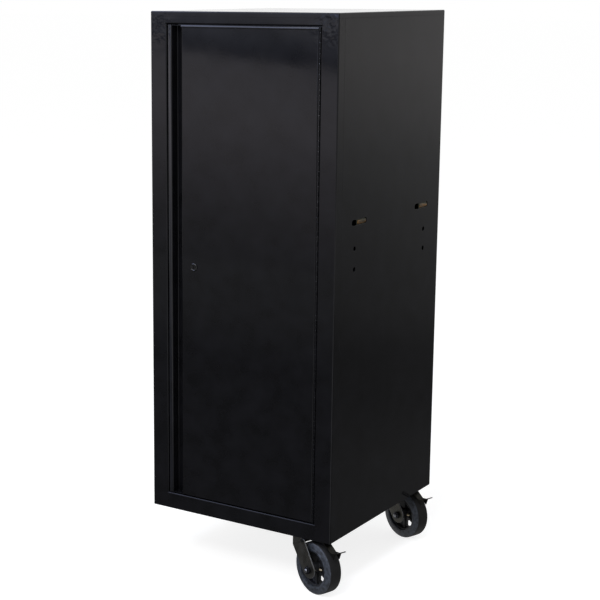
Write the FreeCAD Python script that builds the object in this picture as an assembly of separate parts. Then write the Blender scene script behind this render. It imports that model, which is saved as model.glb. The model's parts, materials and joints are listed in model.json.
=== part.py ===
import FreeCAD, Part
import math
import os

# Tool chest side locker: a sheet-metal cabinet that hangs by its left side and rolls on two
# braked swivel casters under its right side. Millimetres, +Z up, +Y to the back, floor at Z = 0.
# The model is laid out from the body's front left corner and then centred on its own footprint.

V = FreeCAD.Vector
EPS = 1.0                                   # how far a cutting tool runs past what it cuts

# Cabinet body
body_width = 508.0
body_depth = 530.0
body_height = 1220.0
floor_gap = 135.5                           # floor to the body's lower edge
sheet = 1.5
bend = 1.5                                  # inside radius of every sheet bend
lid_skirt = 12.0                            # height of the top panel's turned-down edge
rear_flange = 16.0
bead_depth = 3.0                            # pressed stiffeners of the back sheet
bead_width = 36.0
bead_margin = 90.0

# Door opening in the face frame
stile_left = 46.0
stile_right = 45.0
rail_top_height = 29.0
rail_bottom_height = 40.0
jamb_depth = 28.0                           # how far the opening's edges turn back
stop_lip = 18.0                             # the turned-in stop behind the door's free edge
ledge_lip = 12.0                            # the turned-in stops behind the door's ends

# Door
door_gap = 2.5
door_depth = 25.0
pull_strip = 12.0                           # front face of the pull's outer strip
pull_groove = 28.0                          # clear width of the finger groove
pull_undercut = 20.0                        # how far the groove runs on behind the door skin
pull_bend = 2.5
pull_flange = 8.0
skin_hem = 6.0                              # depth of the skin's turned edge over the groove

# Piano hinge
knuckle_radius = 2.6
hinge_pin_radius = 1.25
hinge_leaf = 1.2
hinge_leaf_width = 20.0
hinge_axis_y = 1.0
knuckle_pitch = 11.3
knuckle_gap = 0.3
knuckle_sides = 6
knuckle_bore_sides = 4
pin_clearance = 0.05

# Cam lock
lock_from_left = 124.0
lock_height = 618.5                         # above the body's lower edge
bezel_radius = 9.5
bezel_thickness = 2.0
housing_radius = 8.0
plug_radius = 6.0
plug_recess = 0.4                           # plug's face behind the bezel's
plug_tail = 2.8                             # plug standing out of the barrel's back
lock_hole_gap = 2.0                         # round the barrel in the liner
lock_nut_width = 22.0
lock_nut_thickness = 3.0
key_slot = (1.4, 8.0, 6.0)                  # width, height, depth
cam_width = 15.0
cam_thickness = 2.5
cam_gap = 0.3                               # between the cam and the strike
cam_overlap = 14.0                          # how far the thrown cam reaches behind the strike
cam_screw_radius = 2.5
cam_screw_head = (5.0, 3.0)                 # radius, thickness
strike_reach = 20.0                         # how far the strike stands out past the stop lip
strike_height = 50.0
strike_corner = 8.0
strike_root = 16.0                          # how far the strike runs back behind the stop lip
bumper_radius = 4.0
bumper_gap = 0.3
bumper_count = 4

# Side pattern: hook slots over bolt holes, the same on both sides
slot_length = 71.0
slot_height = 13.5
slot_front_y = 75.5
slot_rear_inset = 65.5                      # rear slot's end from the body's back
slot_z = 748.0                              # above the body's lower edge
slot_open_share = 0.34                      # front share of a slot that its keeper leaves open
keeper_height = 32.0
keeper_thickness = 3.0
keeper_tail = 6.0
keeper_corner = 8.0
bolt_hole_radius = 5.5
bolt_front_y = 90.6
bolt_rear_inset = 85.6                      # from the body's back
bolt_upper_z = 687.8
bolt_lower_z = 639.4

# Shelves
shelf_count = 3
shelf_flange = 22.0
shelf_front_y = 46.0
shelf_rear_gap = 12.0
shelf_side_gap = 2.5
standard_width = 18.0
standard_depth = 8.0
standard_inset = 40.0                       # from the body's front and back faces
slot_pitch = 50.0
standard_slot = (3.5, 12.0)
clip_width = 14.0
clip_reach = 14.0
clip_thickness = 2.0
clip_tongue = 4.0
clip_slot_gap = 0.3
standard_head = 24.0                        # from the standards' tops to the body's top

# Base
channel_width = 66.0
channel_sheet = 2.0
channel_web_height = 24.5                   # underside of the web above the body's lower edge
floor_flange = 12.0

# Casters
caster_inset_x = 82.0                       # swivel axis from the right side
caster_inset_y = 36.0                       # swivel axis from the front and back faces
caster_turn = 19.0                          # degrees that the wheels trail towards the front
caster_lead = 42.0
wheel_radius = 63.5
wheel_width = 33.0                          # across the tread's corners
tyre_bulge = 3.5                            # how far each sidewall swells beyond the tread, at the rim
tyre_inner_radius = 43.0
shoulder = 2.0
hub_radius = 13.5
hub_length = 56.0
web_thickness = 6.0
rim_thickness = 3.5
rim_width = 27.0
window_count = 3                            # windows in the web, one in every second bay
window_phase = -59.5                        # degrees from level to the middle of the first window
window_inner_radius = 23.5
window_margin = 3.0                         # web left beside the rim
rib_thickness = 5.0
rib_depth = 14.0
rib_flare = 7.0                             # web left along each rib
bush_radius = 8.0
axle_radius = 5.0
axle_clearance = 0.06
axle_head = (16.0, 5.5)                     # width across flats, thickness
axle_nut_thickness = 7.0
axle_end = 2.0
fork_sheet = 3.0
fork_side_gap = 0.3
crown_radius = 31.0
crown_thickness = 3.0
crown_underside = 143.0
neck_half_width = 9.5                       # leg where it leaves the crown, inside the body's skirt
neck_z = 134.5
leg_rear = 16.5                             # leg edges behind and before the swivel axis
leg_front = 24.0
leg_shoulder_z = 133.0
leg_heel_z = 110.0                          # where the rear edge turns towards the axle
axle_boss_radius = 21.0
plate_size = (92.0, 60.0)
plate_thickness = 2.5
plate_bolt_spacing = (75.0, 45.0)
plate_bolt_radius = 4.0
plate_bolt_clearance = 0.3
plate_bolt_head = 5.2
plate_bolt_nut = 6.4
plate_bolt_end = 1.6
plate_corner = 7.5
hex_ratio = 1.625                           # width across flats over the thread's diameter
race_radius = 28.0
race_height = 8.0
race_bore = 19.0
race_flare = 2.0
ring_bore = 12.0
ring_taper = 1.0
race_gap = 0.3
kingpin_radius = 6.0
kingpin_shoulder_radius = 11.0
kingpin_head_radius = 10.0
kingpin_head = 3.7
brake_pivot = (18.0, 129.5)                 # in front of the swivel axis, above the floor
brake_pin_radius = 2.5
brake_pin_head = (4.2, 1.8)                 # radius, thickness
brake_barrel_radius = 4.8
brake_sheet = 2.5
brake_width = 18.0
brake_lift = 3.6                            # underside of the lever above the tyre
brake_elbow_x = 70.0
brake_knee = (97.5, 111.5)
brake_tip = (129.5, 127.4)
brake_gusset = ((90.0, 115.5), (106.0, 101.5), (112.0, 118.0))
brake_corner = 5.0
hidden_sides = 8                            # sides of shanks and bores that nothing shows

# Sizes that follow from the above
body_bottom = floor_gap
body_top = floor_gap + body_height
opening_left = stile_left
opening_right = body_width - stile_right
opening_bottom = body_bottom + rail_bottom_height
opening_top = body_top - rail_top_height
door_left = opening_left + door_gap
door_bottom = opening_bottom + door_gap
door_top = opening_top - door_gap
door_height = door_top - door_bottom
hinge_x = opening_right - knuckle_radius
door_right = hinge_x - knuckle_radius
groove_left = door_left + pull_strip
skin_left = groove_left + pull_groove
lock_x = lock_from_left
lock_z = body_bottom + lock_height
web_bottom = body_bottom + channel_web_height
floor_top = opening_bottom
axle_z = wheel_radius
caster_x = body_width - caster_inset_x
caster_ys = {"front": caster_inset_y, "rear": body_depth - caster_inset_y}


# Shape helpers
def box(x0, x1, y0, y1, z0, z1):
    return Part.makeBox(x1 - x0, y1 - y0, z1 - z0, V(x0, y0, z0))


def rod(radius, start, end):
    """A cylinder between two points."""
    along = end - start
    return Part.makeCylinder(radius, along.Length, start, along)


def prism(points, along):
    """A solid with straight sides from a flat outline of 3-D points."""
    wire = Part.makePolygon(points + [points[0]])
    return Part.Face(wire).extrude(along)


def many_sided(sides, radius, base, along):
    """A prism with its corners on a circle round base; along is a row axis, Y or Z."""
    ring = []
    for i in range(sides):
        angle = 2 * math.pi * i / sides
        u = radius * math.cos(angle)
        v = radius * math.sin(angle)
        ring.append(base + (V(u, v, 0) if abs(along.z) > 0 else V(u, 0, v)))
    return prism(ring, along)


def hexagon(width, base, along):
    """A hexagon prism, width across its flats, standing on base."""
    return many_sided(6, width / math.sqrt(3), base, along)


def turned(profile, centre, axis):
    """A turned solid from corners given as radius and place along the axis, which is Y or Z."""
    points = [centre + V(r, 0, 0) + axis * place for r, place in profile]
    return Part.Face(Part.makePolygon(points + points[:1])).revolve(centre, axis, 360)


def span(start, step):
    """The two ends of a length, the lower first."""
    return sorted((start, start + step))


def left_of(direction):
    return V(-direction.y, direction.x, 0)


def sheet_outline(path, thickness, inner_radius):
    """The closed outline of a bent sheet, from the corners of its middle line."""
    half = thickness / 2
    radius = inner_radius + half
    points = [V(u, v, 0) for u, v in path]
    legs = [(b - a).normalize() for a, b in zip(points, points[1:])]
    outline = []
    ends = []
    for side in (1, -1):
        here = points[0] + left_of(legs[0]) * (side * half)
        ends.append(here)
        for corner, arrive, leave in zip(points[1:-1], legs, legs[1:]):
            hand = 1 if arrive.cross(leave).z > 0 else -1
            reach = radius * math.tan(arrive.getAngle(leave) / 2)
            start = corner - arrive * reach
            centre = start + left_of(arrive) * (hand * radius)
            first = start + left_of(arrive) * (side * half)
            last = corner + leave * reach + left_of(leave) * (side * half)
            middle = centre + (corner - centre).normalize() * (radius - side * hand * half)
            outline.append(Part.LineSegment(here, first).toShape())
            outline.append(Part.Arc(first, middle, last).toShape())
            here = last
        stop = points[-1] + left_of(legs[-1]) * (side * half)
        outline.append(Part.LineSegment(here, stop).toShape())
        ends.append(stop)
    outline.append(Part.LineSegment(ends[0], ends[2]).toShape())
    outline.append(Part.LineSegment(ends[1], ends[3]).toShape())
    return Part.Face(Part.Wire(Part.__sortEdges__(outline)))


def sheet_along_z(path, thickness, z0, z1, inner_radius=bend):
    """A bent sheet whose path lies in X, Y, run from z0 to z1."""
    face = sheet_outline(path, thickness, inner_radius)
    face.translate(V(0, 0, z0))
    return face.extrude(V(0, 0, z1 - z0))


def sheet_along_x(path, thickness, x0, x1, inner_radius=bend):
    """A bent sheet whose path lies in Y, Z, run from x0 to x1."""
    face = sheet_outline(path, thickness, inner_radius)
    face.rotate(V(0, 0, 0), V(1, 0, 0), 90)
    face.rotate(V(0, 0, 0), V(0, 0, 1), 90)
    face.translate(V(x0, 0, 0))
    return face.extrude(V(x1 - x0, 0, 0))


def sheet_along_y(path, thickness, y0, y1, inner_radius=bend):
    """A bent sheet whose path lies in X, Z, run from y0 to y1."""
    face = sheet_outline(path, thickness, inner_radius)
    face.rotate(V(0, 0, 0), V(1, 0, 0), 90)
    face.translate(V(0, y0, 0))
    return face.extrude(V(0, y1 - y0, 0))


def mirror_x(shape):
    """The same piece on the other side of the body's middle plane."""
    return shape.mirror(V(body_width / 2, 0, 0), V(1, 0, 0))


def group(shapes):
    return Part.makeCompound(shapes)


def slot_starts():
    """Front end of each hook slot."""
    return [slot_front_y, body_depth - slot_rear_inset - slot_length]


def rounded_slot(y0, y1, z_mid, height, x0, x1):
    """A cutting tool for a slot with round ends through a side panel."""
    r = height / 2
    tool = box(x0, x1, y0 + r, y1 - r, z_mid - r, z_mid + r)
    for y in (y0 + r, y1 - r):
        tool = tool.fuse(rod(r, V(x0, y, z_mid), V(x1, y, z_mid)))
    return tool


# Cabinet body
def side_panel_right():
    """Flat side with a rear flange, two hook slots and four bolt holes."""
    mid = body_width - sheet / 2
    front = jamb_depth
    back = body_depth - sheet / 2
    path = [(mid, front), (mid, back), (body_width - rear_flange, back)]
    panel = sheet_along_z(path, sheet, body_bottom, body_top - lid_skirt)
    x0 = body_width - sheet - EPS
    x1 = body_width + EPS
    z = body_bottom + slot_z
    for y in slot_starts():
        panel = panel.cut(rounded_slot(y, y + slot_length, z, slot_height, x0, x1))
    for y in (bolt_front_y, body_depth - bolt_rear_inset):
        for height in (bolt_upper_z, bolt_lower_z):
            z = body_bottom + height
            panel = panel.cut(rod(bolt_hole_radius, V(x0, y, z), V(x1, y, z)))
    return panel


def hook_keepers_right():
    """Zinc-plated keeper behind the rear share of each hook slot."""
    inner = body_width - sheet
    z = body_bottom + slot_z
    keepers = []
    half = keeper_height / 2
    for y in slot_starts():
        y0 = y + slot_length * slot_open_share
        y1 = y + slot_length + keeper_tail
        outline = [
            (y0, z - half), (y1 - keeper_corner, z - half), (y1, z - half + keeper_corner),
            (y1, z + half - keeper_corner), (y1 - keeper_corner, z + half), (y0, z + half),
        ]
        points = [V(inner - keeper_thickness, u, v) for u, v in outline]
        keepers.append(prism(points, V(keeper_thickness, 0, 0)))
    return group(keepers)


def front_post(is_left):
    """Upright of the face frame: wraps the corner, turns back beside the opening, left also in as a stop."""
    half = sheet / 2
    stile = stile_left if is_left else stile_right
    path = [
        (half, jamb_depth),
        (half, half),
        (stile - half, half),
        (stile - half, jamb_depth - half),
        (stile + stop_lip, jamb_depth - half),
    ]
    if not is_left:
        path = [(body_width - x, y) for x, y in path[:4]]
    post = sheet_along_z(path, sheet, opening_bottom, opening_top)
    reach = opening_left - bend - sheet if is_left else opening_right + bend + sheet
    corner = path[:2] + [(reach, half)]
    ends = [(body_bottom, opening_bottom), (opening_top, body_top - lid_skirt)]
    return post.fuse([sheet_along_z(corner, sheet, low, high) for low, high in ends])


def frame_rail(is_top):
    """Cross member of the face frame, welded flush between the posts."""
    half = sheet / 2
    if is_top:
        outer = body_top - lid_skirt
        edge = opening_top
        inward = -1
    else:
        outer = body_bottom
        edge = opening_bottom
        inward = 1
    ledge = edge - inward * half
    lip = edge + inward * ledge_lip
    path = [(half, outer), (half, ledge), (jamb_depth - half, ledge), (jamb_depth - half, lip)]
    x0 = opening_left - bend - sheet
    x1 = opening_right + bend + sheet
    rail = sheet_along_x(path, sheet, x0, x1)
    z0, z1 = sorted((edge, lip + inward * EPS))
    return rail.cut([
        box(x0 - EPS, opening_left + stop_lip, 0, jamb_depth + EPS, z0, z1),
        box(opening_right, x1 + EPS, 0, jamb_depth + EPS, z0, z1),
    ])


def top_panel():
    """Lid with its four edges turned down flush with the body."""
    low = body_top - lid_skirt
    outer = box(0, body_width, 0, body_depth, low, body_top)
    inner = box(sheet, body_width - sheet, sheet, body_depth - sheet, low - EPS, body_top - sheet)
    rounded = [e for e in outer.Edges if e.BoundBox.ZMax > low + sheet]
    return outer.makeFillet(bend + sheet, rounded).cut(inner)


def back_panel():
    """Back sheet inside the rear flanges, stiffened by two pressed beads."""
    y1 = body_depth - sheet
    y_mid = y1 - sheet / 2
    x0 = sheet + bend
    panel = box(x0, body_width - x0, y1 - sheet, y1, body_bottom, body_top - 2 * sheet - bend)
    half = bead_width / 2
    low = body_bottom + bead_margin
    high = body_top - bead_margin
    for x in (body_width / 3, body_width * 2 / 3):
        path = [
            (x - half, y_mid),
            (x - half / 3, y_mid - bead_depth),
            (x + half / 3, y_mid - bead_depth),
            (x + half, y_mid),
        ]
        bead = sheet_along_z(path, sheet, low, high)
        mouth = box(x - half, x + half, y1 - sheet - EPS, y1 + EPS, low, high)
        caps = [
            box(x - half, x + half, y_mid - bead_depth - sheet / 2, y1, z, z + sheet)
            for z in (low - sheet, high)
        ]
        panel = panel.cut(mouth).fuse([bead] + caps)
    return panel.removeSplitter()


def floor_pan():
    """Cabinet floor, turned down along both sides."""
    half = sheet / 2
    low = floor_top - floor_flange
    path = [
        (sheet + half, low),
        (sheet + half, floor_top - half),
        (body_width - sheet - half, floor_top - half),
        (body_width - sheet - half, low),
    ]
    return sheet_along_y(path, sheet, jamb_depth, body_depth - 2 * sheet)


def base_channel(y_mid):
    """Channel under the floor that carries a caster near its right end."""
    half = channel_sheet / 2
    y0 = y_mid - channel_width / 2 + half
    y1 = y_mid + channel_width / 2 - half
    top = floor_top - sheet
    web = web_bottom + half
    path = [(y0, top), (y0, web), (y1, web), (y1, top)]
    channel = sheet_along_x(path, channel_sheet, 2 * sheet, body_width - 2 * sheet)
    for x, y in plate_bolt_places(caster_x, y_mid):
        hole = rod(plate_bolt_radius + plate_bolt_clearance, V(x, y, web_bottom - EPS),
                   V(x, y, web_bottom + channel_sheet + EPS))
        channel = channel.cut(hole)
    return channel


def plate_bolt_places(x, y):
    """The four bolt places of a caster plate, its long side along X."""
    dx, dy = plate_bolt_spacing
    return [(x + i * dx / 2, y + j * dy / 2) for i in (-1, 1) for j in (-1, 1)]


# Shelves
def standard_faces():
    """X of each standard's slotted face, and the way it faces."""
    return [(sheet + standard_depth, 1), (body_width - sheet - standard_depth, -1)]


def standard_rows():
    """Y of the middle of each standard."""
    return [standard_inset + standard_width / 2, body_depth - standard_inset - standard_width / 2]


def shelf_levels():
    """Top of each shelf, on the standards' slots."""
    clear = opening_top - floor_top
    share = clear / (shelf_count + 1)
    return [floor_top + slot_pitch * round(share * (i + 1) / slot_pitch) for i in range(shelf_count)]


def shelf_standards():
    """Four slotted uprights on the side panels."""
    low = floor_top
    high = body_top - standard_head
    count = int((high - low - slot_pitch) / slot_pitch)
    slot_width, slot_tall = standard_slot
    uprights = []
    for face_x, facing in standard_faces():
        wall_x = face_x - facing * standard_depth
        mid_x = face_x - facing * sheet / 2
        for y in standard_rows():
            half = standard_width / 2 - sheet / 2
            path = [(wall_x, y - half), (mid_x, y - half), (mid_x, y + half), (wall_x, y + half)]
            upright = sheet_along_z(path, sheet, low, high)
            slots = []
            for i in range(count):
                z = low + slot_pitch * (i + 1) - shelf_flange
                x0, x1 = span(face_x + facing * EPS, -facing * (sheet + 2 * EPS))
                slots.append(box(x0, x1, y - slot_width / 2, y + slot_width / 2,
                                 z - slot_tall / 2, z + slot_tall / 2))
            uprights.append(upright.cut(group(slots)))
    return group(uprights)


def shelf(top):
    """Shelf tray folded down at the front and the rear, with a flange welded in at each end."""
    left = standard_faces()[0][0] + shelf_side_gap
    right = standard_faces()[1][0] - shelf_side_gap
    half = sheet / 2
    rear = body_depth - shelf_rear_gap
    low = top - shelf_flange
    path = [
        (shelf_front_y + half, low),
        (shelf_front_y + half, top - half),
        (rear - half, top - half),
        (rear - half, low),
    ]
    ends = [
        box(x, x + sheet, shelf_front_y + sheet, rear - sheet, low, top - sheet)
        for x in (left, right - sheet)
    ]
    return sheet_along_x(path, sheet, left, right).fuse(ends)


def shelf_clips():
    """Clips hooked into the standards, one under each corner of each shelf."""
    clips = []
    tongue_width = standard_slot[0] / 2 - clip_slot_gap
    for top in shelf_levels():
        seat = top - shelf_flange
        hook = seat - clip_thickness / 2
        for face_x, facing in standard_faces():
            upright = span(face_x, facing * clip_thickness)
            flat = span(face_x, facing * (clip_reach + clip_thickness / 2))
            tongue = span(face_x, -facing * (sheet + clip_thickness))
            for y in standard_rows():
                y0 = y - clip_width / 2
                y1 = y + clip_width / 2
                clips.append(box(*upright, y0, y1, hook - clip_width, seat).fuse([
                    box(*flat, y0, y1, seat - clip_thickness, seat),
                    box(*tongue, y - tongue_width, y + tongue_width, hook - clip_tongue, hook),
                ]).removeSplitter())
    return group(clips)


# Door
def door_skin():
    """Front sheet: turned back at the top, bottom and hinge side, hemmed over the finger groove."""
    outer_bend = bend + sheet
    outer = box(skin_left, door_right, 0, door_depth, door_bottom, door_top)
    front = [e for e in outer.Edges if e.BoundBox.YMax < 1e-6]
    outer = outer.makeFillet(outer_bend, front)
    inner = box(skin_left + sheet, door_right - sheet, sheet, door_depth + EPS,
                door_bottom + sheet, door_top - sheet)
    front = [e for e in inner.Edges if e.BoundBox.YMax < sheet + 1e-6]
    skin = outer.cut(inner.makeFillet(bend, front))
    mouth = box(skin_left - EPS, skin_left + sheet + EPS, skin_hem, door_depth + EPS,
                door_bottom + sheet, door_top - sheet)
    hole = rod(housing_radius, V(lock_x, -EPS, lock_z), V(lock_x, sheet + EPS, lock_z))
    return skin.cut([mouth, hole])


def door_pull():
    """Full-height pull: the outer strip, the groove beside it and the undercut behind the skin."""
    half = sheet / 2
    depth = door_depth - half
    wall_x = groove_left - half
    end_x = skin_left + pull_undercut - half
    path = [
        (door_left + pull_flange, depth),
        (door_left + half, depth),
        (door_left + half, half),
        (wall_x, half),
        (wall_x, depth),
        (end_x, depth),
        (end_x, sheet),
    ]
    low = door_bottom + sheet
    high = door_top - sheet
    ends = [
        sheet_along_z(path[:5] + [(skin_left, depth)], sheet, z0, z1, pull_bend)
        for z0, z1 in ((door_bottom, low), (high, door_top))
    ]
    return sheet_along_z(path, sheet, low, high, pull_bend).fuse(ends).removeSplitter()


def pull_end_caps():
    """Plates that close the strip and the groove at the pull's two ends."""
    pull = door_pull()
    caps = []
    for z in (door_bottom, door_top - sheet):
        plate = box(door_left + sheet, skin_left, sheet, door_depth - sheet, z, z + sheet)
        caps.extend(plate.cut(pull).Solids)
    return group(caps)


def door_liner():
    """Inner sheet that closes the door's back, clear of the lock."""
    y1 = door_depth
    x0 = skin_left + pull_undercut
    panel = box(x0, door_right - sheet, y1 - sheet, y1, door_bottom + sheet, door_top - sheet)
    hole = rod(housing_radius + lock_hole_gap, V(lock_x, 0, lock_z), V(lock_x, y1 + EPS, lock_z))
    return panel.cut(hole)


def strike():
    """Plate behind the stop lip that the lock's cam catches."""
    x0 = opening_left + stop_lip - strike_root
    x1 = opening_left + stop_lip + strike_reach
    z = lock_z
    half = strike_height / 2
    outline = [
        (x0, z - half), (x1 - strike_corner, z - half), (x1, z - half + strike_corner),
        (x1, z + half - strike_corner), (x1 - strike_corner, z + half), (x0, z + half),
    ]
    return prism([V(u, jamb_depth, v) for u, v in outline], V(0, sheet, 0))


def door_bumpers():
    """Rubber buttons on the stop lip that the closed door meets."""
    x = door_left + pull_flange / 2
    y0 = door_depth + bumper_gap
    y1 = jamb_depth - sheet
    step = door_height / bumper_count
    places = [door_bottom + step * (i + 0.5) for i in range(bumper_count)]
    return group([many_sided(hidden_sides, bumper_radius, V(x, y0, z), V(0, y1 - y0, 0)) for z in places])


# Cam lock
def cam_face_y():
    return jamb_depth + sheet + cam_gap


def around_lock(profile):
    return turned(profile, V(lock_x, 0, lock_z), V(0, 1, 0))


def lock_housing():
    """Threaded barrel with its round, chamfered bezel on the door's face."""
    bore = plug_radius + pin_clearance
    chamfer = bezel_thickness / 2
    back = cam_face_y() - plug_tail
    return around_lock([
        (bore, -bezel_thickness), (bezel_radius - chamfer, -bezel_thickness),
        (bezel_radius, chamfer - bezel_thickness), (bezel_radius, 0),
        (housing_radius, 0), (housing_radius, back), (bore, back),
    ])


def lock_nut():
    nut = hexagon(lock_nut_width, V(lock_x, sheet, lock_z), V(0, lock_nut_thickness, 0))
    return nut.cut(rod(housing_radius, V(lock_x, 0, lock_z), V(lock_x, door_depth, lock_z)))


def lock_plug():
    """Key plug that turns in the barrel and carries the cam."""
    front = plug_recess - bezel_thickness
    plug = rod(plug_radius, V(lock_x, front, lock_z), V(lock_x, cam_face_y(), lock_z))
    width, height, depth = key_slot
    slot = box(lock_x - width / 2, lock_x + width / 2, front - EPS, front + depth,
               lock_z - height / 2, lock_z + height / 2)
    thread = rod(cam_screw_radius, V(lock_x, door_depth / 2, lock_z), V(lock_x, cam_face_y(), lock_z))
    return plug.cut([slot, thread])


def lock_cam():
    """Flat arm, upright when unlocked and level behind the strike when locked."""
    reach = lock_x - (opening_left + stop_lip + strike_reach) + cam_overlap
    r = cam_width / 2
    y0 = cam_face_y()
    y1 = y0 + cam_thickness
    arm = box(lock_x - r, lock_x + r, y0, y1, lock_z, lock_z + reach - r)
    for z in (lock_z, lock_z + reach - r):
        arm = arm.fuse(rod(r, V(lock_x, y0, z), V(lock_x, y1, z)))
    hole = rod(cam_screw_radius, V(lock_x, y0 - EPS, lock_z), V(lock_x, y1 + EPS, lock_z))
    return arm.removeSplitter().cut(hole)


def cam_screw():
    """Pan-head screw through the cam into the plug."""
    seat = cam_face_y() + cam_thickness
    radius, thickness = cam_screw_head
    chamfer = thickness / 2
    return around_lock([
        (0, door_depth / 2), (cam_screw_radius, door_depth / 2), (cam_screw_radius, seat), (radius, seat),
        (radius, seat + thickness - chamfer), (radius - chamfer, seat + thickness), (0, seat + thickness),
    ])


# Piano hinge
def knuckle_count():
    """An odd count, so that the frame's leaf has the first and the last knuckle."""
    count = int(door_height / knuckle_pitch)
    return count - 1 + count % 2


def hinge_leaf_piece(side, keeps):
    """Leaf with rolled knuckles: side is -1 on the door and 1 on the frame, keeps its first knuckle."""
    outer_x = hinge_x + side * knuckle_radius
    inner_x = outer_x - side * hinge_leaf
    x0, x1 = sorted((outer_x, inner_x))
    root_y = hinge_axis_y + knuckle_radius + knuckle_gap
    leaf = box(x0, x1, hinge_axis_y, root_y + hinge_leaf_width, door_bottom, door_top)
    bore_radius = (hinge_pin_radius + pin_clearance) / math.cos(math.pi / knuckle_bore_sides)
    base = V(hinge_x, hinge_axis_y, door_bottom)
    along = V(0, 0, door_height)
    barrel = many_sided(knuckle_sides, knuckle_radius, base, along)
    leaf = leaf.fuse(barrel).cut(many_sided(knuckle_bore_sides, bore_radius, base, along))
    count = knuckle_count()
    pitch = door_height / count
    notches = []
    for i in range(1 - keeps, count, 2):
        z0 = door_bottom + pitch * i - knuckle_gap / 2
        z1 = z0 + pitch + knuckle_gap
        notches.append(box(hinge_x - 2 * knuckle_radius, hinge_x + 2 * knuckle_radius,
                           hinge_axis_y - 2 * knuckle_radius, root_y, z0, z1))
    return leaf.cut(group(notches))


def hinge_pin():
    return rod(hinge_pin_radius, V(hinge_x, hinge_axis_y, door_bottom), V(hinge_x, hinge_axis_y, door_top))


# Casters, laid out with the swivel axis on Z and the wheel trailing along +X
def caster_plate():
    """Top plate with its pressed raceway."""
    length, width = plate_size
    u = length / 2
    v = width / 2
    top = web_bottom
    under = top - plate_thickness
    outline = []
    for i, j in ((-1, -1), (1, -1), (1, 1), (-1, 1)):
        corner = [(i * (u - plate_corner), j * v), (i * u, j * (v - plate_corner))]
        outline += corner if i * j < 0 else corner[::-1]
    plate = prism([V(x, y, under) for x, y in outline], V(0, 0, plate_thickness))
    low = under - race_height
    profile = [(race_bore, under), (race_radius + race_flare, under), (race_radius, low), (race_bore, low)]
    race = turned(profile, V(), V(0, 0, 1))
    hole = rod(kingpin_radius, V(0, 0, under - EPS), V(0, 0, top + EPS))
    holes = [rod(plate_bolt_radius + plate_bolt_clearance, V(x, y, under - EPS), V(x, y, top + EPS))
             for x, y in plate_bolt_places(0, 0)]
    return plate.fuse(race).cut([hole] + holes)


def kingpin():
    """Stepped pin riveted through the plate, with its head under the fork's crown."""
    top = web_bottom
    under = top - plate_thickness
    step = under - race_height
    head_top = crown_underside - race_gap
    head_low = head_top - kingpin_head
    return turned([
        (0, top), (kingpin_radius, top), (kingpin_radius, under), (kingpin_shoulder_radius, under),
        (kingpin_shoulder_radius, step), (kingpin_radius, step), (kingpin_radius, head_top),
        (kingpin_head_radius, head_top), (kingpin_head_radius, head_low), (0, head_low),
    ], V(), V(0, 0, 1))


def bearing_ring():
    """Lower race and dust ring, pressed on the crown."""
    low = crown_underside + crown_thickness
    high = web_bottom - plate_thickness - race_height - race_gap
    profile = [(ring_bore, low), (race_radius, low), (race_radius - ring_taper, high), (ring_bore, high)]
    return turned(profile, V(), V(0, 0, 1))


def leg_inner_y():
    return hub_length / 2 + fork_side_gap


def tangent_point(point, centre, radius, hand):
    """Where a line from point touches a circle, both in X, Z; hand picks the side."""
    dx = point[0] - centre[0]
    dz = point[1] - centre[1]
    distance = math.hypot(dx, dz)
    angle = math.atan2(dz, dx) + hand * math.acos(radius / distance)
    return (centre[0] + radius * math.cos(angle), centre[1] + radius * math.sin(angle))


def fork():
    """Pressed fork: round crown over two broad legs that lean forward to round bosses at the axle."""
    inner = leg_inner_y()
    outer = inner + fork_sheet
    top = crown_underside + crown_thickness
    crown = rod(crown_radius, V(0, 0, crown_underside), V(0, 0, top))
    crown = crown.common(box(-crown_radius, crown_radius, -outer, outer, crown_underside, top))
    axle = (caster_lead, axle_z)
    heel = (-leg_rear, leg_heel_z)
    brow = (leg_front, leg_shoulder_z)
    heel_touch = tangent_point(heel, axle, axle_boss_radius, 1)
    brow_touch = tangent_point(brow, axle, axle_boss_radius, -1)
    diagonal = axle_boss_radius * math.sqrt(0.5)
    under_axle = V(caster_lead + diagonal, 0, axle_z - diagonal)
    corners = [
        heel_touch, heel, (-leg_rear, leg_shoulder_z), (-neck_half_width, neck_z), (-neck_half_width, top),
        (neck_half_width, top), (neck_half_width, neck_z), brow, brow_touch,
    ]
    points = [V(x, 0, z) for x, z in corners]
    edges = [Part.LineSegment(a, b).toShape() for a, b in zip(points, points[1:])]
    edges.append(Part.Arc(points[-1], under_axle, points[0]).toShape())
    face = Part.Face(Part.Wire(edges))
    legs = []
    for side in (-1, 1):
        leg = face.extrude(V(0, fork_sheet, 0))
        leg.translate(V(0, inner if side > 0 else -outer, 0))
        legs.append(leg)
    body = crown.fuse(legs).removeSplitter()
    pivot_x, pivot_z = brake_pivot
    holes = [
        rod(kingpin_radius + pin_clearance, V(0, 0, crown_underside - EPS), V(0, 0, top + EPS)),
        rod(axle_radius, V(caster_lead, -outer - EPS, axle_z), V(caster_lead, outer + EPS, axle_z)),
        rod(brake_pin_radius, V(pivot_x, -outer - EPS, pivot_z), V(pivot_x, outer + EPS, pivot_z)),
    ]
    return body.cut(holes)


def axle_bolt():
    outer = leg_inner_y() + fork_sheet
    length = 2 * outer + axle_nut_thickness + axle_end
    width, head = axle_head
    seat = V(caster_lead, outer, axle_z)
    return hexagon(width, seat, V(0, head, 0)).fuse(rod(axle_radius, seat, seat - V(0, length, 0)))


def axle_nut():
    outer = leg_inner_y() + fork_sheet
    nut = hexagon(axle_head[0], V(caster_lead, -outer, axle_z), V(0, -axle_nut_thickness, 0))
    return nut.cut(rod(axle_radius, V(caster_lead, 0, axle_z), V(caster_lead, -2 * outer, axle_z)))


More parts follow.
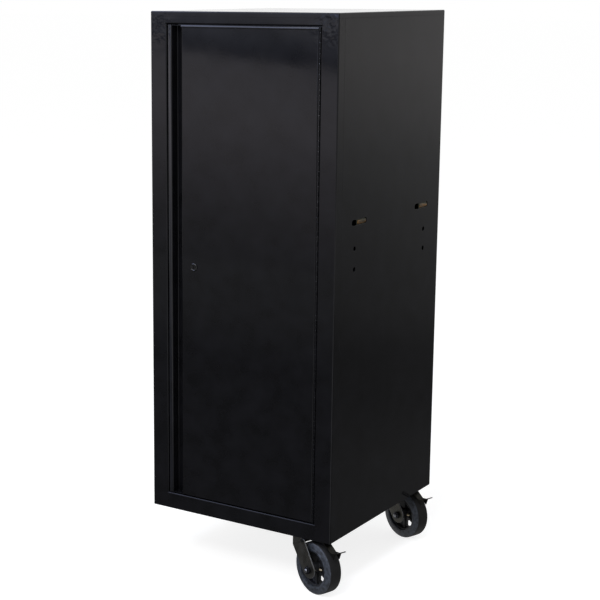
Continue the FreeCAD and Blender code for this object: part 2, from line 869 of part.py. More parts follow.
def brake_pin():
    """Riveted pin across the legs that the brake lever turns on."""
    x, z = brake_pivot
    outer = leg_inner_y() + fork_sheet
    radius, thickness = brake_pin_head
    pin = rod(brake_pin_radius, V(x, -outer, z), V(x, outer, z))
    heads = [
        rod(radius, V(x, side * outer, z), V(x, side * (outer + thickness), z)) for side in (-1, 1)
    ]
    return pin.fuse(heads)


def around_axle(profile):
    """A ring about the wheel's axle from corners given as radius and width."""
    return turned(profile, V(caster_lead, 0, axle_z), V(0, 1, 0))


def tyre():
    """Solid rubber tyre: flat tread, small shoulders, and sidewalls that swell towards the rim."""
    half = wheel_width / 2
    swell = half + tyre_bulge
    return around_axle([
        (tyre_inner_radius, -swell), (wheel_radius - shoulder, -half), (wheel_radius, shoulder - half),
        (wheel_radius, half - shoulder), (wheel_radius - shoulder, half), (tyre_inner_radius, swell),
    ])


def polar(angle, radius):
    """Offset in X, Z from the axle."""
    return V(radius * math.cos(angle), 0, radius * math.sin(angle))


def wheel_core():
    """Moulded core: hub, rim and a ribbed web with a window in every second bay."""
    rim_inner = tyre_inner_radius - rim_thickness
    web = web_thickness / 2
    body = around_axle([
        (bush_radius, -hub_length / 2), (hub_radius, -hub_length / 2), (hub_radius, -web),
        (rim_inner, -web), (rim_inner, -rim_width / 2), (tyre_inner_radius, -rim_width / 2),
        (tyre_inner_radius, rim_width / 2), (rim_inner, rim_width / 2), (rim_inner, web),
        (hub_radius, web), (hub_radius, hub_length / 2), (bush_radius, hub_length / 2),
    ])
    axle = V(caster_lead, -web - EPS, axle_z)
    through = V(0, web_thickness + 2 * EPS, 0)
    inner = window_inner_radius
    outer = rim_inner - window_margin
    half_bay = math.pi / window_count / 2
    windows = []
    ribs = []
    for i in range(window_count):
        middle = math.radians(window_phase) + 4 * half_bay * i
        near, far = [half_bay - math.asin(rib_flare / 2 / radius) for radius in (inner, outer)]
        corners = [
            polar(middle - near, inner), polar(middle - far, outer), polar(middle, outer),
            polar(middle + far, outer), polar(middle + near, inner),
        ]
        windows.append(prism([axle + corner for corner in corners], through))
        for side in (-1, 1):
            rib = box(hub_radius - EPS, rim_inner + EPS, -rib_depth / 2, rib_depth / 2,
                      -rib_thickness / 2, rib_thickness / 2)
            rib.rotate(V(), V(0, 1, 0), -math.degrees(middle + side * half_bay))
            rib.translate(V(caster_lead, 0, axle_z))
            ribs.append(rib)
    return body.cut(windows).fuse(ribs).removeSplitter()


def wheel_bush():
    inner = axle_radius + axle_clearance
    return around_axle([(inner, -hub_length / 2), (bush_radius, -hub_length / 2),
                        (bush_radius, hub_length / 2), (inner, hub_length / 2)])


def brake_lever():
    """Foot lever: hinged over the tyre, its tongue standing out beyond the wheel."""
    x, z = brake_pivot
    level = 2 * wheel_radius + brake_lift + brake_sheet / 2
    half = brake_width / 2
    path = [(x + brake_pin_radius, level), (brake_elbow_x, level), brake_knee, brake_tip]
    plate = sheet_along_y(path, brake_sheet, -half, half, brake_sheet)
    tips = [e for e in plate.Edges if e.BoundBox.XMin > brake_tip[0] - 2 and e.BoundBox.YLength < 1e-6
            and e.Length < 1.5 * brake_sheet]
    plate = plate.makeFillet(brake_corner, tips)
    ear = hub_length / 2
    barrel = rod(brake_barrel_radius, V(x, -ear, z), V(x, ear, z))
    gussets = [
        prism([V(u, y, v) for u, v in brake_gusset], V(0, brake_sheet, 0))
        for y in (-half, half - brake_sheet)
    ]
    bore = rod(brake_pin_radius + pin_clearance, V(x, -ear - EPS, z), V(x, ear + EPS, z))
    return plate.fuse([barrel] + gussets).cut(bore)


def place_caster(shape, y, turn):
    """A caster piece turned to its trail and moved under the body."""
    placed = shape.copy()
    placed.rotate(V(), V(0, 0, 1), turn)
    placed.translate(V(caster_x, y, 0))
    return placed


def caster_bolts():
    """Bolts from below through the caster plates and the channel webs, with their nuts."""
    width = 2 * plate_bolt_radius * hex_ratio
    grip = plate_thickness + channel_sheet
    shank = V(0, 0, grip + plate_bolt_nut + plate_bolt_end)
    pieces = []
    for y in caster_ys.values():
        for bolt_x, bolt_y in plate_bolt_places(caster_x, y):
            base = V(bolt_x, bolt_y, web_bottom - plate_thickness)
            bolt = hexagon(width, base, V(0, 0, -plate_bolt_head))
            bolt = bolt.fuse(many_sided(hidden_sides, plate_bolt_radius, base, shank))
            nut = hexagon(width, base + V(0, 0, grip), V(0, 0, plate_bolt_nut))
            pieces += [bolt, nut.cut(bolt)]
    return group(pieces)


# Export
def build():
    """Every piece by its node's name, laid out from the body's front left corner."""
    parts = {
        "side_panel_right": side_panel_right(),
        "hook_keepers_right": hook_keepers_right(),
        "front_post_left": front_post(True),
        "front_post_right": front_post(False),
        "rail_top": frame_rail(True),
        "rail_bottom": frame_rail(False),
        "top_panel": top_panel(),
        "back_panel": back_panel(),
        "floor_pan": floor_pan(),
        "shelf_standards": shelf_standards(),
        "shelf_clips": shelf_clips(),
        "door_skin": door_skin(),
        "door_pull": door_pull(),
        "pull_end_caps": pull_end_caps(),
        "door_liner": door_liner(),
        "door_bumpers": door_bumpers(),
        "strike": strike(),
        "lock_housing": lock_housing(),
        "lock_nut": lock_nut(),
        "lock_plug": lock_plug(),
        "lock_cam": lock_cam(),
        "cam_screw": cam_screw(),
        "hinge_leaf_frame": hinge_leaf_piece(1, 0),
        "hinge_leaf_door": hinge_leaf_piece(-1, 1),
        "hinge_pin": hinge_pin(),
        "caster_bolts": caster_bolts(),
    }
    for name in ("side_panel", "hook_keepers"):
        parts[name + "_left"] = mirror_x(parts[name + "_right"])
    for name, top in zip(("lower", "middle", "upper"), shelf_levels()):
        parts["shelf_" + name] = shelf(top)
    fixed = {"caster_plate": caster_plate(), "kingpin": kingpin()}
    swivelling = {
        "caster_fork": fork(),
        "bearing_ring": bearing_ring(),
        "axle_bolt": axle_bolt(),
        "axle_nut": axle_nut(),
        "brake_pin": brake_pin(),
        "brake_lever": brake_lever(),
        "wheel_core": wheel_core(),
        "wheel_bush": wheel_bush(),
        "tyre": tyre(),
    }
    for place, y in caster_ys.items():
        parts["base_channel_" + place] = base_channel(y)
        for name, shape in fixed.items():
            parts[name + "_" + place] = place_caster(shape, y, 0)
        for name, shape in swivelling.items():
            parts[name + "_" + place] = place_caster(shape, y, -caster_turn)
    return parts


def export(parts):
    """Centres the model on its footprint and writes one file per piece."""
    whole = FreeCAD.BoundBox()
    for shape in parts.values():
        whole.add(shape.optimalBoundingBox(True, False))
    shift = V(-whole.Center.x, -whole.Center.y, 0)
    print("moved by", shift, "overall", whole.XLength, whole.YLength, whole.ZLength)
    os.makedirs("parts", exist_ok=True)
    for name, shape in parts.items():
        shape.translate(shift)
        shape.exportStep("parts/" + name + ".step")


export(build())
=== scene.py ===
import json
import math

import bmesh
import bpy
import numpy as np
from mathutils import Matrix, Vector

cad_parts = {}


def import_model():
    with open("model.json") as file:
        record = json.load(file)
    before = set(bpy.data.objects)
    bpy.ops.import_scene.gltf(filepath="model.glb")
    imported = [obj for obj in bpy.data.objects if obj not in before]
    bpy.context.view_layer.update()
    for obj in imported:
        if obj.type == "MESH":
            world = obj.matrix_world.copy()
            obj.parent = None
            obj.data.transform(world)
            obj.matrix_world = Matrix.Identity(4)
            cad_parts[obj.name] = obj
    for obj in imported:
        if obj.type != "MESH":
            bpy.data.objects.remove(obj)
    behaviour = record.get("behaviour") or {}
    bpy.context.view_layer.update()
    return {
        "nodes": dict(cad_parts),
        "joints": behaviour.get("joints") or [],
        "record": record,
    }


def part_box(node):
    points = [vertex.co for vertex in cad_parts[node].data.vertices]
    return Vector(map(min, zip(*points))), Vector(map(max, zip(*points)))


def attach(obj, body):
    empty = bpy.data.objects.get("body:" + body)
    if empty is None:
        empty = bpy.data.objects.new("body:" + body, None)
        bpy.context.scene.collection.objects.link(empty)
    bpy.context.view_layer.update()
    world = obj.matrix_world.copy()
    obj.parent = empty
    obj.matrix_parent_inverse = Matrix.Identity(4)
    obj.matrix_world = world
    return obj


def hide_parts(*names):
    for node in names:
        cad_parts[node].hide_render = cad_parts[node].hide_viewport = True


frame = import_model()
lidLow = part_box("top_panel")[0]
nodes = frame["nodes"]
joints = {joint["name"]: joint for joint in frame["joints"]}
bpy.context.scene.view_settings.view_transform = "Standard"
print("locker frame loaded:", len(nodes), "nodes")


def world(x, y, z):                          # metres from the body's front left corner, to the frame
    return (lidLow.x + x, lidLow.y + y, z)


def linear(hexColour):                       # an sRGB hex colour as linear RGBA
    value = hexColour.lstrip("#")
    srgb = np.array([int(value[i:i + 2], 16) for i in (0, 2, 4)]) / 255
    rgb = np.where(srgb <= 0.04045, srgb / 12.92, ((srgb + 0.055) / 1.055) ** 2.4)
    return (*(float(c) for c in rgb), 1.0)


def addNode(tree, kind, settings=None, links=None):
    # lower-case settings are the node's own, the others are its sockets' values
    node = tree.nodes.new(kind)
    for key, value in (settings or {}).items():
        if isinstance(key, str) and key[0].islower():
            setattr(node, key, value)
        else:
            node.inputs[key].default_value = value
    for key, source in (links or {}).items():
        tree.links.new(source, node.inputs[key])
    return node


def combine(tree, kind, operation, terms, output=0):   # each term is a socket or a constant
    links = {at: term for at, term in enumerate(terms) if isinstance(term, bpy.types.NodeSocket)}
    settings = {at: term for at, term in enumerate(terms) if at not in links}
    return addNode(tree, kind, {"operation": operation, **settings}, links).outputs[output]


def scalar(tree, operation, *terms):
    return combine(tree, "ShaderNodeMath", operation, terms)


def vector(tree, operation, *terms):
    return combine(tree, "ShaderNodeVectorMath", operation, terms)


def measure(tree, operation, *terms):        # a number from two vectors
    return combine(tree, "ShaderNodeVectorMath", operation, terms, "Value")


def mapped(tree, value, fromMin=0.0, fromMax=1.0, toMin=0.0, toMax=1.0, curve="LINEAR"):
    settings = {"interpolation_type": curve, "From Min": fromMin, "From Max": fromMax,
                "To Min": toMin, "To Max": toMax}
    return addNode(tree, "ShaderNodeMapRange", settings, {"Value": value}).outputs[0]


def noise(tree, place, size, detail):        # a value near 0.5 whose features have that size in metres
    return addNode(tree, "ShaderNodeTexNoise", {"Scale": 1 / size, "Detail": detail},
                   {"Vector": place}).outputs["Fac"]


def emptyTree(owner):                        # the cleared node tree of a material or a world
    owner.use_nodes = True
    owner.node_tree.nodes.clear()
    return owner.node_tree


def intoScene(name, data):
    thing = bpy.data.objects.new(name, data)
    bpy.context.scene.collection.objects.link(thing)
    return thing


def quad(name, corners):                     # a mesh of one face
    mesh = bpy.data.meshes.new(name)
    mesh.from_pydata(corners, [], [(0, 1, 2, 3)])
    return mesh


# Camera, placed from the body's front left corner.
camera = {
    "place": (2.13265, -2.91647, 1.41143),
    "pitch": 11.762, "roll": 0.0295, "yaw": 34.322,   # degrees, with the pitch measured downwards
    "lens": 90.328, "sensor": 36, "shift": 0.16667, "reach": 200,
}
eye = bpy.data.cameras.new("studioCamera")
eye.lens = camera["lens"]
eye.sensor_width = camera["sensor"]
eye.shift_x = camera["shift"]
eye.clip_end = camera["reach"]
stand = intoScene("studioCamera", eye)
stand.location = world(*camera["place"])
turns = (90 - camera["pitch"], camera["roll"], camera["yaw"])
stand.rotation_euler = [math.radians(turn) for turn in turns]
bpy.context.scene.camera = stand

# Lights: name, middle, aimed at, width, height, radiance, colour, whether gloss shows it.
# Cards: seen only in gloss, as the room round the locker. Their tone runs along a gradient from an
# origin, through stops of place, strength and tint, and it fades out over a width inside its first,
# second, third and fourth edge. Clouds set in over a rise, and vary the strength by a depth as their
# noise crosses its span.
studio = {
    "ambient": 0.45,                         # world light on matt surfaces
    "floorColour": "#b0b0b0", "floorGlow": 0.8, "floorHalf": 60.0,
    "lights": [
        ("frontFill", (-1.95, -3.55, 1.3), (0.25, 0.0, 0.85), 3.4, 2.2, 2.0, "#f6f8ff", False),
        ("rearFill", (2.75, 4.05, 1.15), (0.5, 0.27, 1.0), 3.0, 1.5, 0.85, "#ffffff", False),
        ("overhead", (0.2, -0.9, 3.6), (0.25, 0.1, 1.2), 2.6, 2.0, 4.0, "#e6eeff", True),
        ("key", (0.9, -3.2, 3.6), (0.25, 0.1, 0.7), 1.2, 1.2, 15.75, "#ffffff", True),
    ],
    "cards": {
        "frontWall": {
            "corners": [(-4.4, -3.55, 0), (1.0, -3.55, 0), (1.0, -3.55, 4.4), (-4.4, -3.55, 4.4)],
            "origin": (-2.37, -3.55, 0), "gradient": (0.101, 0, 1),
            "stops": [(0, 0.45, "#ffffff"), (0.26, 0.75, "#fffaff"), (0.53, 1.35, "#fdf7ff"),
                      (0.8, 2.1, "#fdf7ff"), (1.08, 2.15, "#fbf6ff"), (1.105, 0.4, "#d3dcff"),
                      (1.15, 0.6, "#d3dcff"), (1.2, 1.25, "#dfe6ff"), (1.25, 1.6, "#e6ebff"),
                      (1.31, 2.4, "#f6f5ff"), (1.42, 2.0, "#e6ebff"), (1.6, 5.0, "#cdd8ff"),
                      (4.4, 5.0, "#cdd8ff")],
            "clouds": {"from": 1.1, "rise": 0.05, "size": 0.35, "span": (0.35, 0.65), "depth": 0.4},
            "fade": (0, 1.2, 1.0, 1.2),
        },
        "frontGround": {
            "corners": [(-4.4, -3.55, 0.001), (0.56, -3.55, 0.001), (0.56, 0.6, 0.001), (-4.4, 0.6, 0.001)],
            "origin": (0, 0.6, 0.001), "gradient": (0, -1, 0),
            "stops": [(0, 0.5, "#ffffff"), (0.35, 0.45, "#ffffff"), (0.55, 0.2, "#ffffff"),
                      (2.46, 0.2, "#ffffff"), (3.06, 0.46, "#ffffff"), (4.16, 0.65, "#ffffff")],
            "fade": (0, 0.14, 0.4, 1.2),
        },
        "rearWall": {
            "corners": [(1.0, 4.05, 0), (4.2, 4.05, 0), (4.2, 4.05, 2.6), (1.0, 4.05, 2.6)],
            "origin": (2.4, 4.05, 0), "gradient": (0, 0, 1),
            "stops": [(0, 0.26, "#ffffff"), (0.27, 0.34, "#ffffff"), (0.54, 0.46, "#ffffff"),
                      (0.8, 0.67, "#fffdfd"), (1.05, 0.84, "#fffcfc"), (2.6, 1.0, "#ffffff")],
            "fade": (0, 1.1, 0.8, 0.9),
        },
        "rearGround": {
            "corners": [(0.56, -0.3, 0.001), (4.2, -0.3, 0.001), (4.2, 4.05, 0.001), (0.56, 4.05, 0.001)],
            "origin": (0.51, 0.22, 0.001), "gradient": (0.46, 0.89, 0),
            "stops": [(0, 0.16, "#ffffff"), (0.9, 0.16, "#ffffff"), (1.6, 0.12, "#ffffff"),
                      (2.3, 0.13, "#ffffff"), (3.1, 0.21, "#ffffff"), (4.3, 0.26, "#ffffff")],
            "fade": (0.3, 1.1, 0, 0),
        },
        "skylight": {
            "corners": [(-4.6, -2.6, 3.4), (-0.9, -2.6, 3.4), (-0.9, 1.6, 3.4), (-4.6, 1.6, 3.4)],
            "origin": (-2.5, -1.0, 3.4), "gradient": (0, 1, 0),
            "stops": [(0, 6.5, "#ccd6ff"), (1, 6.5, "#ccd6ff")],
            "fade": (0.8, 0.8, 0.8, 0.8),
        },
    },
}


def addSoftbox(name, middle, target, width, height, radiance, colour, mirrored):
    light = bpy.data.lights.new(name, "AREA")
    light.shape = "RECTANGLE"
    light.size = width
    light.size_y = height
    light.energy = radiance * math.pi * width * height   # watts that give the face this radiance
    light.color = linear(colour)[:3]
    lamp = intoScene(name, light)
    lamp.location = world(*middle)
    away = lamp.location - type(lamp.location)(world(*target))
    lamp.rotation_euler = away.to_track_quat("Z", "Y").to_euler()
    lamp.visible_camera = False
    lamp.visible_glossy = mirrored


def cardTone(tree, place, card):
    # the colour along the gradient, the strength it is scaled by, and the way run along the gradient
    offset = vector(tree, "SUBTRACT", place, world(*card["origin"]))
    run = measure(tree, "DOT_PRODUCT", offset, card["gradient"])
    first = card["stops"][0][0]
    last = card["stops"][-1][0]
    peak = max(strength for _, strength, _ in card["stops"])
    band = addNode(tree, "ShaderNodeValToRGB", None, {"Fac": mapped(tree, run, first, last)})
    marks = band.color_ramp.elements
    for _ in card["stops"][2:]:
        marks.new(0.5)
    for mark, (at, strength, tint) in zip(marks, card["stops"]):
        mark.position = (at - first) / (last - first)
        mark.color = (*(c * strength / peak for c in linear(tint)[:3]), 1)
    return band.outputs["Color"], peak, run


def cloudy(tree, place, run, peak, clouds):  # the strength, swinging about its peak from a height up
    above = mapped(tree, run, clouds["from"], clouds["from"] + clouds["rise"], 0, clouds["depth"])
    puffs = noise(tree, place, clouds["size"], 4)
    swing = mapped(tree, puffs, *clouds["span"], -1, 1)
    return scalar(tree, "MULTIPLY", scalar(tree, "MULTIPLY_ADD", above, swing, 1.0), peak)


def cardFade(tree, place, corners, widths):  # 1 in the middle and 0 at the edges that have a width
    solid = None
    for edge, width in enumerate(widths):
        if width:
            inward = corners[edge - 1] - corners[edge]   # adjoining edges are square to each other
            inward = inward / np.linalg.norm(inward)
            depth = measure(tree, "DOT_PRODUCT", vector(tree, "SUBTRACT", place, corners[edge]), inward)
            ramp = mapped(tree, depth, 0, width, curve="SMOOTHSTEP")
            solid = ramp if solid is None else scalar(tree, "MULTIPLY", solid, ramp)
    return solid


def addCard(name, card):
    corners = np.array([world(*corner) for corner in card["corners"]])
    mesh = quad(name, corners.tolist())
    board = intoScene(name, mesh)
    for rays in ("camera", "diffuse", "transmission", "shadow"):
        setattr(board, "visible_" + rays, False)
    paint = bpy.data.materials.new(name)
    tree = emptyTree(paint)
    place = addNode(tree, "ShaderNodeTexCoord").outputs["Object"]
    colour, peak, run = cardTone(tree, place, card)
    glow = addNode(tree, "ShaderNodeEmission", {"Strength": peak}, {"Color": colour})
    if "clouds" in card:
        tree.links.new(cloudy(tree, place, run, peak, card["clouds"]), glow.inputs["Strength"])
    clear = addNode(tree, "ShaderNodeBsdfTransparent")
    blend = addNode(tree, "ShaderNodeMixShader", None, {
        0: cardFade(tree, place, corners, card["fade"]), 1: clear.outputs[0], 2: glow.outputs[0]})
    addNode(tree, "ShaderNodeOutputMaterial", None, {"Surface": blend.outputs[0]})
    mesh.materials.append(paint)


def eitherRay(tree, *kinds):                 # 1 for rays of these kinds, else 0
    rays = addNode(tree, "ShaderNodeLightPath")
    seen = rays.outputs[kinds[0]]
    for kind in kinds[1:]:
        seen = scalar(tree, "MAXIMUM", seen, rays.outputs[kind])
    return seen


for light in studio["lights"]:
    addSoftbox(*light)
for name, card in studio["cards"].items():
    addCard(name, card)

# The world lights matt surfaces dimly, and shows plain white behind everything.
white = (1, 1, 1, 1)
backgroundRays = ("Is Camera Ray", "Is Glossy Ray", "Is Transmission Ray")
sky = bpy.data.worlds.new("studioWorld")
bpy.context.scene.world = sky
skyTree = emptyTree(sky)
skyStrength = mapped(skyTree, eitherRay(skyTree, *backgroundRays), toMin=studio["ambient"])
background = addNode(skyTree, "ShaderNodeBackground", {"Color": white}, {"Strength": skyStrength})
addNode(skyTree, "ShaderNodeOutputWorld", None, {"Surface": background.outputs[0]})

half = studio["floorHalf"]
floorMesh = quad("studioFloor", [(-half, -half, 0), (half, -half, 0), (half, half, 0), (-half, half, 0)])
studioFloor = intoScene("studioFloor", floorMesh)
floorPaint = bpy.data.materials.new("paleStudioFloor")
floorTree = emptyTree(floorPaint)
matt = addNode(floorTree, "ShaderNodeBsdfDiffuse", {"Color": linear(studio["floorColour"])})
floorStrength = scalar(floorTree, "MULTIPLY", eitherRay(floorTree, *backgroundRays), studio["floorGlow"])
pale = addNode(floorTree, "ShaderNodeEmission", {"Color": white}, {"Strength": floorStrength})
both = addNode(floorTree, "ShaderNodeAddShader", None, {0: matt.outputs[0], 1: pale.outputs[0]})
addNode(floorTree, "ShaderNodeOutputMaterial", None, {"Surface": both.outputs[0]})
floorMesh.materials.append(floorPaint)
print("camera, lights and floor set")


# Materials. Patterns read Object coordinates, and every size and depth is in metres.
noiseSpan = (0.3, 0.7)                       # where nearly all of a noise's values lie


def startMaterial(name):
    material = bpy.data.materials.new(name)
    tree = emptyTree(material)
    return material, tree, addNode(tree, "ShaderNodeTexCoord").outputs["Object"]


def finishMaterial(tree, settings, colour, roughness, normal):
    shader = addNode(tree, "ShaderNodeBsdfPrincipled", settings, {
        "Base Color": colour, "Roughness": roughness, "Normal": normal})
    addNode(tree, "ShaderNodeOutputMaterial", None, {"Surface": shader.outputs[0]})


def pattern(tree, place, size, detail, low=0, high=1):   # a noise, spread from low to high
    return mapped(tree, noise(tree, place, size, detail), *noiseSpan, low, high)


def twoTone(tree, share, first, second):     # each tone is a hex colour or a socket
    settings = {"data_type": "RGBA"}
    links = {0: share}
    for at, tone in ((6, first), (7, second)):
        if isinstance(tone, str):
            settings[at] = linear(tone)
        else:
            links[at] = tone
    return addNode(tree, "ShaderNodeMix", settings, links).outputs[2]


def bump(tree, height, depth, under=None):   # depth is the height's full range in metres
    links = {"Height": height}
    if under is not None:
        links["Normal"] = under
    return addNode(tree, "ShaderNodeBump", {"Distance": depth, "Strength": 1.0}, links).outputs[0]


def grained(tree, place, grain, detail=2, under=None):
    return bump(tree, pattern(tree, place, grain["size"], detail), grain["depth"], under)


def blackPowderCoat(name, ior, dark, light):
    # Semi-gloss black polyester powder coat, sprayed and baked on steel sheet: deep black, with soft
    # reflections that wander over the sheet's slight waves and a faint orange peel.
    finish = {
        "waves": {"size": 0.16, "depth": 0.0002},        # oil-canning of a thin panel
        "peel": {"size": 0.006, "depth": 0.000006},      # coarser than the real 2 mm, so that it shows
        "ripple": {"size": 0.022, "depth": 0.00035},     # left by grinding the frame's welded corners
        "welds": (0.254, 0, 1.328), "weldSpan": 0.232,   # midway between them, and the way out to each
        "weldOuter": 0.06, "weldInner": 0.02,            # the ripple fades out between these radii
        "mottle": 0.05, "haze": 0.09, "smooth": 0.05, "hazy": 0.09,
    }
    material, tree, place = startMaterial(name)
    waves = grained(tree, place, finish["waves"], 1)
    folded = vector(tree, "ABSOLUTE", vector(tree, "SUBTRACT", place, world(*finish["welds"])))
    apart = measure(tree, "DISTANCE", folded, (finish["weldSpan"], 0, 0))
    near = mapped(tree, apart, finish["weldOuter"], finish["weldInner"])
    ripple = scalar(tree, "MULTIPLY", near, pattern(tree, place, finish["ripple"]["size"], 2))
    ground = bump(tree, ripple, finish["ripple"]["depth"], waves)
    finishMaterial(
        tree, {"IOR": ior}, twoTone(tree, pattern(tree, place, finish["mottle"], 3), dark, light),
        pattern(tree, place, finish["haze"], 3, finish["smooth"], finish["hazy"]),
        grained(tree, place, finish["peel"], 1, ground))
    return material


def platedSteel(name, first, second, smooth, rough, spangle):
    # Electroplated zinc on pressed steel: a dull metal with patches of slightly different tone.
    finish = {"grain": {"size": 0.0015, "depth": 0.00002}, "hazeShare": 1.7}   # haze size over spangle size
    material, tree, place = startMaterial(name)
    finishMaterial(
        tree, {"Metallic": 1.0}, twoTone(tree, pattern(tree, place, spangle, 3), first, second),
        pattern(tree, place, spangle * finish["hazeShare"], 2, smooth, rough),
        grained(tree, place, finish["grain"]))
    return material


def glossLacquer(name, dark, light):
    # Gloss black lacquer on a turned bezel: nearly black, with small hard glints and faint polishing
    # swirls.
    finish = {"swirl": {"size": 0.002, "depth": 0.000004}, "mottle": 0.006, "haze": 0.004,
              "smooth": 0.1, "hazy": 0.16, "ior": 1.34}
    material, tree, place = startMaterial(name)
    finishMaterial(
        tree, {"IOR": finish["ior"]}, twoTone(tree, pattern(tree, place, finish["mottle"], 2), dark, light),
        pattern(tree, place, finish["haze"], 2, finish["smooth"], finish["hazy"]),
        grained(tree, place, finish["swirl"]))
    return material


def yellowChromate():
    # Yellow-chromated zinc plate: a dark olive above, painted shade under the slot's upper edge, and brown
    # below, in streaks along the piece.
    finish = {
        "shadeOlive": "#2f2f24", "brown": "#8a6435", "middle": 0.8827, "half": 0.004,   # where the painted shade's olive turns brown
        "streak": (1, 0.22, 1.5), "ragged": 0.005, "haze": 0.008, "smooth": 0.28, "hazy": 0.42,
        "grain": {"size": 0.0025, "depth": 0.00006},
    }
    material, tree, place = startMaterial("yellowChromate")
    drawn = vector(tree, "MULTIPLY", place, finish["streak"])
    level = addNode(tree, "ShaderNodeSeparateXYZ", None, {0: place}).outputs["Z"]
    top = finish["middle"] + finish["half"]
    foot = finish["middle"] - finish["half"]
    # the darker olive above the middle is painted shade
    fall = mapped(tree, level, top, foot, -0.5, 0.5)
    share = addNode(tree, "ShaderNodeMath", {"operation": "ADD", "use_clamp": True},
                    {0: fall, 1: pattern(tree, drawn, finish["ragged"], 3)}).outputs[0]
    finishMaterial(
        tree, {"Metallic": 1.0}, twoTone(tree, share, finish["shadeOlive"], finish["brown"]),
        pattern(tree, drawn, finish["haze"], 2, finish["smooth"], finish["hazy"]),
        grained(tree, drawn, finish["grain"]))
    return material


def forkSteel(name, axle, cheek):
    # Dull zinc plate on a pressed steel fork: olive-grey cheeks, and edges painted brighter where the press
    # cut the plate, a painted highlight. Faces that look along the axle are cheeks, the others edges.
    finish = {
        "edge": ("#8a8c90", "#6c6e72"),
        "cheekFrom": 0.75, "edgeFrom": 0.35,   # cosine of a face's angle to the axle
        "patches": 0.014, "haze": 0.02, "smooth": 0.3, "hazy": 0.45,
        "grain": {"size": 0.0015, "depth": 0.00002},
    }
    material, tree, place = startMaterial(name)
    facing = addNode(tree, "ShaderNodeTexCoord").outputs["Normal"]
    along = scalar(tree, "ABSOLUTE", measure(tree, "DOT_PRODUCT", facing, axle))
    edgeShare = mapped(tree, along, finish["cheekFrom"], finish["edgeFrom"])
    patches = pattern(tree, place, finish["patches"], 3)
    dull = twoTone(tree, patches, *cheek)
    # the brighter tone on the edges is a painted highlight
    edgeHighlightTone = twoTone(tree, patches, *finish["edge"])
    finishMaterial(
        tree, {"Metallic": 1.0}, twoTone(tree, edgeShare, dull, edgeHighlightTone),
        pattern(tree, place, finish["haze"], 2, finish["smooth"], finish["hazy"]),
        grained(tree, place, finish["grain"]))
    return material


def mouldedRubber(name, first, second, smooth, rough):
    # Moulded rubber or nylon: matt, with a faint bloom and a fine moulded grain.
    finish = {"grain": {"size": 0.0012, "depth": 0.00004}, "bloom": 0.018, "haze": 0.012, "ior": 1.5}
    material, tree, place = startMaterial(name)
    bloom = pattern(tree, place, finish["bloom"], 4)
    finishMaterial(
        tree, {"IOR": finish["ior"]}, twoTone(tree, bloom, first, second),
        pattern(tree, place, finish["haze"], 3, smooth, rough), grained(tree, place, finish["grain"]))
    return material


def tyreRubber():
    # Moulded rubber tyre: the sidewalls have a grey-blue bloom with a satin sheen, and the tread is
    # worn near black and matt. The attribute "tread" is 1 on the tread and 0 on the sidewalls.
    finish = {
        "side": ("#16181c", "#3d424b"), "tread": ("#060606", "#0e0d0d"), "satin": 0.42, "matt": 0.85,
        "patches": 0.007, "grain": {"size": 0.0015, "depth": 0.00005}, "ior": 1.37,
    }
    material, tree, place = startMaterial("tyreRubber")
    share = addNode(tree, "ShaderNodeAttribute", {"attribute_name": "tread"}).outputs["Fac"]
    patches = pattern(tree, place, finish["patches"], 3)
    bloom = twoTone(tree, patches, *finish["side"])
    worn = twoTone(tree, patches, *finish["tread"])
    finishMaterial(
        tree, {"IOR": finish["ior"]}, twoTone(tree, share, bloom, worn),
        mapped(tree, share, toMin=finish["satin"], toMax=finish["matt"]),
        grained(tree, place, finish["grain"]))
    return material


finishes = {
    "black_paint": blackPowderCoat("blackPowderCoat", 1.24, "#0b0b0d", "#121215"),
    "yellow_zinc": yellowChromate(),
    "bright_zinc": platedSteel("brightZincPlate", "#b4b6ba", "#8f9196", 0.25, 0.42, 0.008),
    "black_oxide": platedSteel("oiledBlackOxide", "#3a3b40", "#26272b", 0.22, 0.34, 0.005),
    "caster_steel": platedSteel("dullCasterSteel", "#403e3a", "#31302c", 0.35, 0.5, 0.014),
    "lock_black": glossLacquer("glossBlackLacquer", "#050506", "#0a0a0c"),
    "tyre": tyreRubber(),
    "wheel_core": mouldedRubber("mouldedNylon", "#090a0c", "#101114", 0.45, 0.6),
    "bush_bronze": platedSteel("sinteredBronze", "#a78558", "#8b6d45", 0.4, 0.55, 0.004),
    "bumper_rubber": mouldedRubber("bumperRubber", "#121212", "#1b1b1b", 0.6, 0.75),
}

nippleBrass = platedSteel("nippleBrass", "#f0e6cd", "#dcc596", 0.25, 0.35, 0.003)
boltTip = platedSteel("burnishedBoltTip", "#7d7e82", "#606165", 0.3, 0.45, 0.004)
# The keepers behind the slots are painted dark: painted shade inside the slots.
keeperShadeZinc = platedSteel("keeperZincPaintedShade", "#26271c", "#191a12", 0.35, 0.5, 0.006)
# The brake levers' steel is darker than the slot's.
leverSteelDark = platedSteel("darkLeverSteel", "#272623", "#1c1b19", 0.35, 0.5, 0.01)
ownFinish = {                                # nodes whose finish differs from their slot's: the keepers are painted dark as the shade in the slots, and the levers are a darker steel
    "hook_keepers_left": keeperShadeZinc, "hook_keepers_right": keeperShadeZinc,
    "brake_lever_front": leverSteelDark, "brake_lever_rear": leverSteelDark,
}
